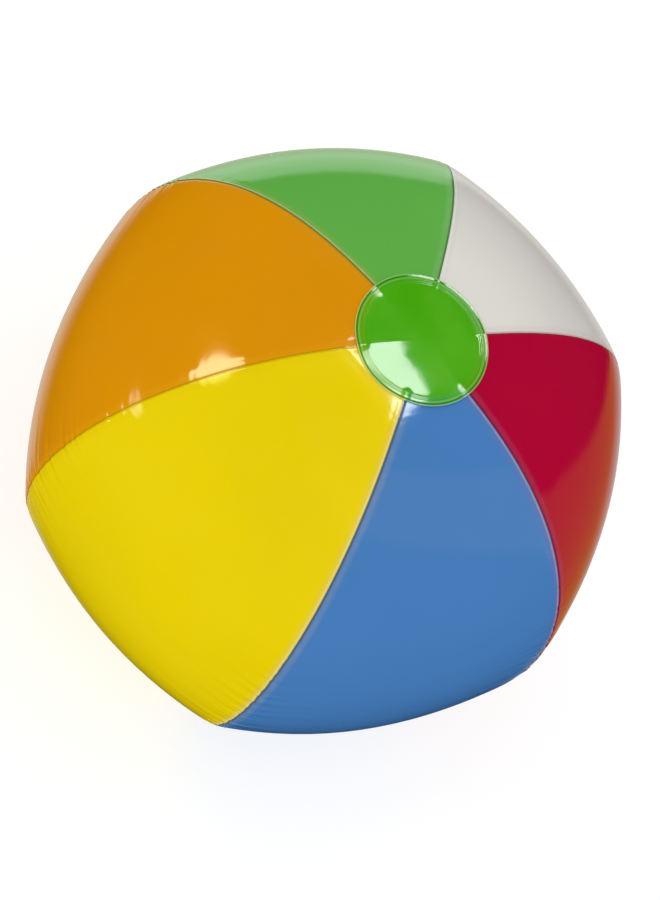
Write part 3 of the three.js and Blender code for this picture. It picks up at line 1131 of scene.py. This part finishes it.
@dataclass(frozen=True)
class Valve:
    """The push-in valve in the white panel, on an axis along +Y; its heights count from the film."""

    shape: FilmShape
    reach: float
    segments: int = 96
    web_top: float = 0.9 * MM
    web_foot: float = -8.3 * MM
    strap_width: float = 3.0 * MM
    strap_thickness: float = 0.7 * MM
    strap_held: float = -2.0 * MM
    strap_free: float = 0.6 * MM

    def on_axis(self, outline: np.ndarray) -> np.ndarray:
        """Turns an outline about the valve's axis: x = r cos a, z = r sin a, y = height.

        Args:
            outline: Radius and height of each point.

        Returns:
            Points by outline point and by turn.
        """
        angle = np.linspace(0, 2 * math.pi, self.segments, endpoint=False)[None]
        radius, height = outline[:, :1], outline[:, 1:]
        along = self.reach + height + 0 * angle
        parts = (radius * np.cos(angle), along, self.shape.centre + radius * np.sin(angle))
        return np.stack(parts, axis=-1)

    def flange(self) -> Surface:
        """The soft ring welded to the film: a rounded outline carried round the hole on the film's curve.

        Returns:
            The closed ring.
        """
        bore, rim = 10.0, 16.0
        across = np.linspace(bore, rim, 61)
        top = 0.95 - 0.35 * smoothstep(14.8, rim, across) - 0.15 * (1 - smoothstep(bore, 10.6, across))
        for ring in (13.2, 14.6):
            top = top + 0.10 * bump(ring, 0.22, across)
        outline = np.concatenate((
            np.stack((across, top), axis=1),
            np.array([(16.1, 0.35), (16.0, 0.06)]),
            np.stack((across[::-12], np.full(len(across[::-12]), 0.06)), axis=1)[1:],
            np.array([(9.9, 0.4)]),
        )) * MM
        angle = np.linspace(0, 2 * math.pi, 2 * self.segments, endpoint=False)[None]
        radius, level = outline[:, :1], outline[:, 1:]
        rise = self.shape.pole_height * (1 + self.shape.panel_rise)
        azimuth = math.pi / 2 - radius * np.sin(angle) / self.reach
        polar = math.pi / 2 - radius * np.cos(angle) / rise
        return turned(self.shape.point(polar, azimuth, level + 0 * angle), loop=True)

    def web(self) -> Surface:
        """The skirt between flange and stem: an S-shaped, finely ribbed wall from radius 10.05 to 6.15 mm.

        Returns:
            The closed ring.
        """
        part = np.linspace(0, 1, 33)
        height = self.web_top + (self.web_foot - self.web_top) * part
        radius = (10.05 - 3.9 * smoothstep(0.0, 1.0, part) ** 0.85) * MM
        ribs = 0.06 * MM * np.sin(part * 9 * math.pi) * np.sin(part * math.pi)
        wall = 0.25 * MM
        outer = np.stack((radius + wall + ribs, height), axis=1)
        inner = np.stack((radius - wall + ribs, height), axis=1)
        return turned(self.on_axis(np.concatenate((outer, inner[::-1]))), loop=True)

    def stem(self) -> Surface:
        """The tube that is blown into: a rounded lip, two grip rings and the shoulder that holds the web.

        Returns:
            The closed tube.
        """
        grips = [
            (radius, foot + rise, 0.1)
            for foot in (-5.2, -2.9)
            for radius, rise in ((5.5, 0.0), (5.7, 0.2), (5.7, 0.6), (5.5, 0.8))
        ]
        corners = [
            (4.0, -14.0, 0.2), (5.5, -14.0, 0.5), (5.5, -8.6, 0.1), (6.3, -8.6, 0.3), (6.3, -7.6, 0.3),
            (5.5, -7.6, 0.2), *grips, (5.5, -0.5, 0.2), (6.0, -0.4, 0.3), (6.0, 0.6, 0.45),
            (4.0, 0.6, 0.3), (4.15, -4.0, 0.2), (4.0, -9.0, 0.2),
        ]
        return turned(self.on_axis(rounded_outline(corners) * MM), loop=True)

    def plug(self) -> Surface:
        """The stopper: a rounded head with a dished top, and a tapered shank with a snap ring.

        Its outline is cut three times finer between its points and smoothed once by weights 1, 2, 1.

        Returns:
            The closed solid.
        """
        places = [
            (0, -7.5), (1.6, -7.5), (2.9, -7.45), (3.2, -7.1), (3.3, -6.2), (3.55, -5.9), (3.6, -5.5),
            (3.35, -5.2), (3.55, -3.0), (3.7, 0.2), (3.8, 0.8), (4.1, 0.9), (4.9, 0.9), (5.15, 0.95),
            (5.3, 1.15), (5.32, 1.5), (5.25, 1.8), (5.05, 2.02), (4.8, 2.1), (4.3, 2.12), (4.0, 2.02),
            (3.7, 1.8), (3.3, 1.68), (2.4, 1.62), (1.2, 1.6), (0, 1.6),
        ]
        outline = np.array(places) * MM
        step = np.arange(len(outline))
        fine = np.linspace(0, len(outline) - 1, 3 * len(outline) - 2)
        smooth = np.stack([np.interp(fine, step, outline[:, axis]) for axis in (0, 1)], axis=1)
        smooth[1:-1] = (smooth[:-2] + 2 * smooth[1:-1] + smooth[2:]) / 4
        return turned(self.on_axis(smooth), loop=False)

    def tether(self) -> Surface:
        """The strap from the plug's head, over the lip and down to the stem: a rounded bar along a bent line.

        The line leaves the head outwards, turns down through a quarter circle, drops, and turns back in to
        the stem's wall through another. The bar's section is a squared ellipse, |x|^n + |y|^n = 1.

        Returns:
            The closed bar.
        """
        bend, reach, top, foot = 0.9 * MM, 7.15 * MM, 1.5 * MM, -3.1 * MM
        quarter = np.linspace(0, math.pi / 2, 12)
        inset, upper, lower = reach - bend, top - bend, foot + bend
        start = np.linspace(5.0 * MM, inset, 6, endpoint=False)
        first = np.stack((inset + bend * np.sin(quarter), upper + bend * np.cos(quarter)), axis=1)
        second = np.stack((inset + bend * np.cos(quarter), lower - bend * np.sin(quarter)), axis=1)
        drop = np.linspace(first[-1], second[0], 8)[1:-1]
        finish = np.linspace(inset, 5.3 * MM, 5)[1:]
        line = np.concatenate((
            np.stack((start, np.full(6, top)), axis=1), first, drop, second,
            np.stack((finish, np.full(4, foot)), axis=1),
        ))
        tangent = np.gradient(line, axis=0)
        tangent /= np.linalg.norm(tangent, axis=1, keepdims=True)
        normal = np.stack((tangent[:, 1], -tangent[:, 0]), axis=1)
        turn = np.linspace(0, 2 * math.pi, 32, endpoint=False)
        wide = np.sign(np.cos(turn)) * np.abs(np.cos(turn)) ** 0.35 * self.strap_width / 2
        thick = np.sign(np.sin(turn)) * np.abs(np.sin(turn)) ** 0.6 * self.strap_thickness / 2
        flat = line[:, None] + normal[:, None] * thick[None, :, None]
        aside = self.shape.centre + np.broadcast_to(wide, flat.shape[:2])
        tube = np.stack((flat[..., 0], self.reach + flat[..., 1], aside), axis=-1)
        tips = [np.broadcast_to(tube[end].mean(axis=0), (1, *tube.shape[1:])) for end in (0, -1)]
        return turned(np.concatenate((tips[0], tube, tips[1])), loop=False)

    def flap(self) -> Surface:
        """The round tongue over the stem's inner end, with its ear and a raised sealing ring.

        Its edge is a circle that widens into a straight-sided ear at the top, and its faces are rings that
        shrink from that edge to the middle.

        Returns:
            The closed tongue.
        """
        edge, ear_half, ear_top = 4.95 * MM, 2.0 * MM, 5.55 * MM
        turn = np.linspace(0, 2 * math.pi, self.segments, endpoint=False)
        across, upward = edge * np.cos(turn), edge * np.sin(turn)
        ear = (np.abs(across) < ear_half) & (upward > 0)
        upward = np.where(ear, ear_top, upward)
        parts = np.array([0.0, 0.25, 0.5, 0.62, 0.70, 0.78, 0.9, 0.97, 1.0, 0.97, 0.6, 0.3, 0.0])
        face, back = [-14.3], [-14.9]
        heights = np.array([*face * 4, -14.22, *face * 2, -14.35, -14.6, -14.87, *back * 3])
        along = np.broadcast_to((self.reach + heights * MM)[:, None], (len(parts), len(turn)))
        grid = (parts[:, None] * across, along, self.shape.centre + parts[:, None] * upward)
        return turned(np.stack(grid, axis=-1), loop=False)

    def build(self, material: bpy.types.Material) -> list[bpy.types.Object]:
        """Builds the valve's pieces on their bodies; web and strap are left on no body.

        Args:
            material: The finish of the whole moulding.

        Returns:
            The valve's objects.
        """
        pieces = {
            "valve_flange": (self.flange(), "root"),
            "valve_web": (self.web(), None),
            "valve_stem": (self.stem(), "stem"),
            "valve_plug": (self.plug(), "plug"),
            "plug_tether": (self.tether(), None),
            "check_flap": (self.flap(), "flap"),
        }
        objects = {}
        for name, (surface, body) in pieces.items():
            piece = surface.build(f"moulded_{name}", material)
            if body:
                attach(piece, body)
            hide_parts(name)
            objects[name] = piece
            LOG.info("%s: %d faces", name, len(piece.data.polygons))
        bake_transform(objects["valve_web"])
        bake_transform(objects["plug_tether"])
        return list(objects.values())


# --------------------------------------------------------------------------- the studio


@dataclass(frozen=True)
class View:
    """The direction that the ball is looked at from, and the camera that looks."""

    centre: tuple[float, float, float]
    elevation: float = 59.37
    azimuth: float = 6.18
    roll: float = 43.75
    distance: float = 1.913
    lens: float = 133.48
    off_right: float = 2.92 * MM
    off_up: float = -5.10 * MM

    def axes(self) -> tuple[np.ndarray, np.ndarray, np.ndarray]:
        """The view's right, up and towards-the-camera directions in the model's frame.

        Returns:
            The three unit vectors.
        """
        elevation, azimuth, roll = (math.radians(v) for v in (self.elevation, self.azimuth, self.roll))
        level = math.cos(elevation)
        back = np.array((math.sin(azimuth) * level, -math.cos(azimuth) * level, math.sin(elevation)))
        side = np.array((math.cos(azimuth), math.sin(azimuth), 0.0))
        rise = np.cross(back, side)
        right = math.cos(roll) * side + math.sin(roll) * rise
        up = -math.sin(roll) * side + math.cos(roll) * rise
        return right, up, back

    def direction(self, right: float, up: float, toward: float) -> np.ndarray:
        """A unit vector given by its parts along the view's three axes.

        Args:
            right: The part along the view's right.
            up: The part along its up.
            toward: The part towards the camera.

        Returns:
            The unit vector in the model's frame.
        """
        axes = self.axes()
        vector = right * axes[0] + up * axes[1] + toward * axes[2]
        return vector / np.linalg.norm(vector)

    def build(self) -> bpy.types.Object:
        """Makes the camera, turned by the roll and aimed a little beside the ball's centre.

        Returns:
            The camera, which is also the scene's camera.
        """
        right, up, back = self.axes()
        centre = np.array(self.centre)
        place = centre + self.distance * back
        aim = centre + self.off_right * right + self.off_up * up
        toward = place - aim
        toward /= np.linalg.norm(toward)
        across = right - (right @ toward) * toward
        across /= np.linalg.norm(across)
        upright = np.cross(toward, across)
        data = bpy.data.cameras.new("camera")
        data.lens = self.lens
        data.sensor_width = 36.0
        data.clip_start, data.clip_end = 0.05, 50.0
        camera = placed("camera", data)
        matrix = np.eye(4)
        matrix[:3, :3] = np.stack((across, upright, toward), axis=1)
        matrix[:3, 3] = place
        camera.matrix_world = Matrix(matrix.tolist())
        bpy.context.scene.camera = camera
        return camera


@dataclass(frozen=True)
class SoftLamp:
    """An oval light that only shows as a reflection, by its direction from the ball.

    Its middle, and the way its width runs, are given as parts along the view's right, up and towards axes.
    """

    middle: tuple[float, float, float]
    run: tuple[float, float, float]
    half_width: float
    half_height: float
    edge: float
    glow: float
    tint: Colour = (1.0, 1.0, 1.0)


@dataclass(frozen=True)
class Studio:
    """Even white light from all round, a pale floor, and a dark room with soft lamps in the reflections.

    The room and the lamps are laid out along the axes of the view, so they turn with the camera.
    """

    view: View
    daylight: float = 1.035
    dark_room: Colour = (0.004, 0.004, 0.004)
    backdrop: Colour = (1.0, 1.0, 0.98)
    warm_band: Colour = (0.42, 0.29, 0.01)
    edge_glow: Colour = (0.60, 0.56, 0.50)
    floor_shades: tuple[float, float] = (0.36, 0.39)
    floor_glow: float = 0.69
    floor_size: float = 14.0
    floor_drop: float = 0.3 * MM
    lamps: tuple[SoftLamp, ...] = (
        SoftLamp((-0.415, 0.631, 0.660), (0.88, 0.23, 0.43), 0.23, 0.155, 0.12, 14.0, (1.0, 1.0, 0.60)),
        SoftLamp((-0.37, 0.405, 0.836), (0.88, 0.23, 0.43), 0.14, 0.12, 0.80, 7.0, (0.7, 1.0, 0.25)),
        SoftLamp((0.57, 0.57, 0.59), (0.7, -0.7, 0.05), 0.115, 0.115, 0.15, 16.0),
        SoftLamp((-0.935, 0.23, 0.32), (0.0, 0.81, -0.59), 0.27, 0.012, 0.30, 12.0, (1.0, 1.0, 0.70)),
    )

    def reflections(self, sheet: NodeSheet) -> Socket:
        """The brightness that a glossy surface sees in each direction.

        The room is near black. A white backdrop fills the directions behind the ball and above its middle,
        a warm band lies below the middle on the right, a grey glow edges the ball except low down, and
        every lamp is a soft-edged oval.

        Args:
            sheet: The world's node tree.

        Returns:
            The colour of the reflected room.
        """
        ray = sheet.add("ShaderNodeTexCoord").outputs["Generated"]
        right, up, back = (self.part(sheet, ray, axis) for axis in self.view.axes())
        sheer = sheet.remap(back, (-0.61, -0.53), (1.0, 0.0))
        middle = sheet.strip(right, -0.30, 0.30, 0.08)
        above = sheet.remap(up, (0.08, 0.20), (0.0, 1.0))
        sheer = sheet.math("MULTIPLY", sheet.math("MULTIPLY", sheer, middle), above)
        room = sheet.mix(sheer, self.dark_room, self.backdrop)
        square = sheet.math("MULTIPLY", back, back)
        below = sheet.math("SUBTRACT", sheet.math("MULTIPLY_ADD", square, 0.17, 0.01), up)
        sideways = sheet.math("DIVIDE", right, sheet.math("SQRT", sheet.math("SUBTRACT", 1.0002, square)))
        to_right = sheet.remap(sideways, (0.50, 0.62), (0.0, 1.0))
        low = sheet.math("MULTIPLY", sheet.strip(below, 0.0, 0.48, 0.03), to_right)
        room = sheet.mix(low, room, self.warm_band)
        high = sheet.remap(up, (-0.22, -0.02), (0.0, 1.0))
        rim = sheet.math("MULTIPLY", sheet.remap(back, (-0.95, -0.80), (1.0, 0.0)), high)
        room = sheet.mix(rim, room, self.edge_glow)
        for lamp in self.lamps:
            room = sheet.mix(self.lamp_mask(sheet, ray, lamp), room, scaled_light(lamp.tint, lamp.glow))
        return room

    @staticmethod
    def part(sheet: NodeSheet, ray: Socket, axis: np.ndarray) -> Socket:
        """The part of the ray's direction along an axis: their dot product."""
        inputs = {0: ray, 1: tuple(float(v) for v in axis)}
        return sheet.add("ShaderNodeVectorMath", inputs, operation="DOT_PRODUCT").outputs["Value"]

    def lamp_mask(self, sheet: NodeSheet, ray: Socket, lamp: SoftLamp) -> Socket:
        """1 inside a lamp and 0 outside it, with a soft edge where (x / a)^2 + (y / b)^2 passes 1.

        Here x and y are the ray's parts along the lamp's width and height, and a and b its half sizes.

        Args:
            sheet: The world's node tree.
            ray: The direction of the glossy ray.
            lamp: The lamp.

        Returns:
            The share of the lamp's light in that direction.
        """
        middle = self.view.direction(*lamp.middle)
        run = self.view.direction(*lamp.run)
        run = run - (run @ middle) * middle
        run /= np.linalg.norm(run)
        sides = ((run, lamp.half_width), (np.cross(middle, run), lamp.half_height))
        parts = [sheet.math("DIVIDE", self.part(sheet, ray, axis), half) for axis, half in sides]
        squares = [sheet.math("MULTIPLY", part, part) for part in parts]
        inside = sheet.remap(sheet.math("ADD", *squares), (1 - lamp.edge, 1 + lamp.edge), (1.0, 0.0))
        facing = sheet.remap(self.part(sheet, ray, middle), (0.1, 0.2), (0.0, 1.0))
        return sheet.math("MULTIPLY", inside, facing)

    def build(self) -> None:
        """Makes the world and the floor, and sets plain colour handling."""
        scene = bpy.context.scene
        scene.view_settings.view_transform = "Standard"
        world = bpy.data.worlds.new("studio")
        scene.world = world
        world.use_nodes = True
        sheet = NodeSheet(world.node_tree)
        glossy = sheet.add("ShaderNodeLightPath").outputs["Is Glossy Ray"]
        seen = sheet.mix(glossy, scaled_light((1.0, 1.0, 1.0), self.daylight), self.reflections(sheet))
        light = sheet.add("ShaderNodeBackground", {"Color": seen, "Strength": 1.0})
        sheet.add("ShaderNodeOutputWorld", {"Surface": light.outputs[0]})
        world.cycles.sampling_method = "NONE"
        self.build_floor()

    def build_floor(self) -> bpy.types.Object:
        """The floor: a large pale sheet that glows a little, so that only a faint shadow shows on it.

        Returns:
            The floor's object.
        """
        half = self.floor_size / 2
        corners = np.array([(-half, -half), (half, -half), (half, half), (-half, half)])
        vertices = np.concatenate((corners, np.full((4, 1), -self.floor_drop)), axis=1)
        sheet, material = NodeSheet.for_material("pale_floor")
        paper = sheet.remap(sheet.noise(3.0), (0.3, 0.7), (0.0, 1.0))
        darker, lighter = ((grey, grey, grey) for grey in self.floor_shades)
        inputs = {
            "Base Color": sheet.mix(paper, darker, lighter),
            "Roughness": 0.9,
            "Emission Color": (1.0, 1.0, 1.0),
            "Emission Strength": self.floor_glow,
            "Specular IOR Level": 0.0,
        }
        shader = sheet.add("ShaderNodeBsdfPrincipled", inputs)
        sheet.add("ShaderNodeOutputMaterial", {"Surface": shader.outputs["BSDF"]})
        mesh = bpy.data.meshes.new("floor")
        mesh.from_pydata(vertices.tolist(), [], [(0, 1, 2, 3)])
        mesh.materials.append(material)
        floor = placed("floor", mesh)
        floor.visible_glossy = False
        return floor


def main() -> None:
    """Loads the frame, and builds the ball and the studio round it."""
    logging.basicConfig(level=logging.INFO, format="%(name)s: %(message)s")
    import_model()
    low, high = (np.array(corner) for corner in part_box("valve_stem"))
    centre = float(low[2] + high[2]) / 2
    shape = FilmShape(centre)
    middle = math.pi / 2
    reach = float(shape.point(middle, middle, 0.0)[1])

    FilmPanels(shape, Gathers()).build()
    disc_film = DiscFinish().build()
    EndDisc(shape, "end_disc_top", 1).build(disc_film)
    EndDisc(shape, "end_disc_bottom", -1).build(disc_film)
    Valve(shape, reach).build(MouldedFinish().build())

    view = View((0.0, 0.0, centre))
    view.build()
    Studio(view).build()


if __name__ == "__main__":
    main()
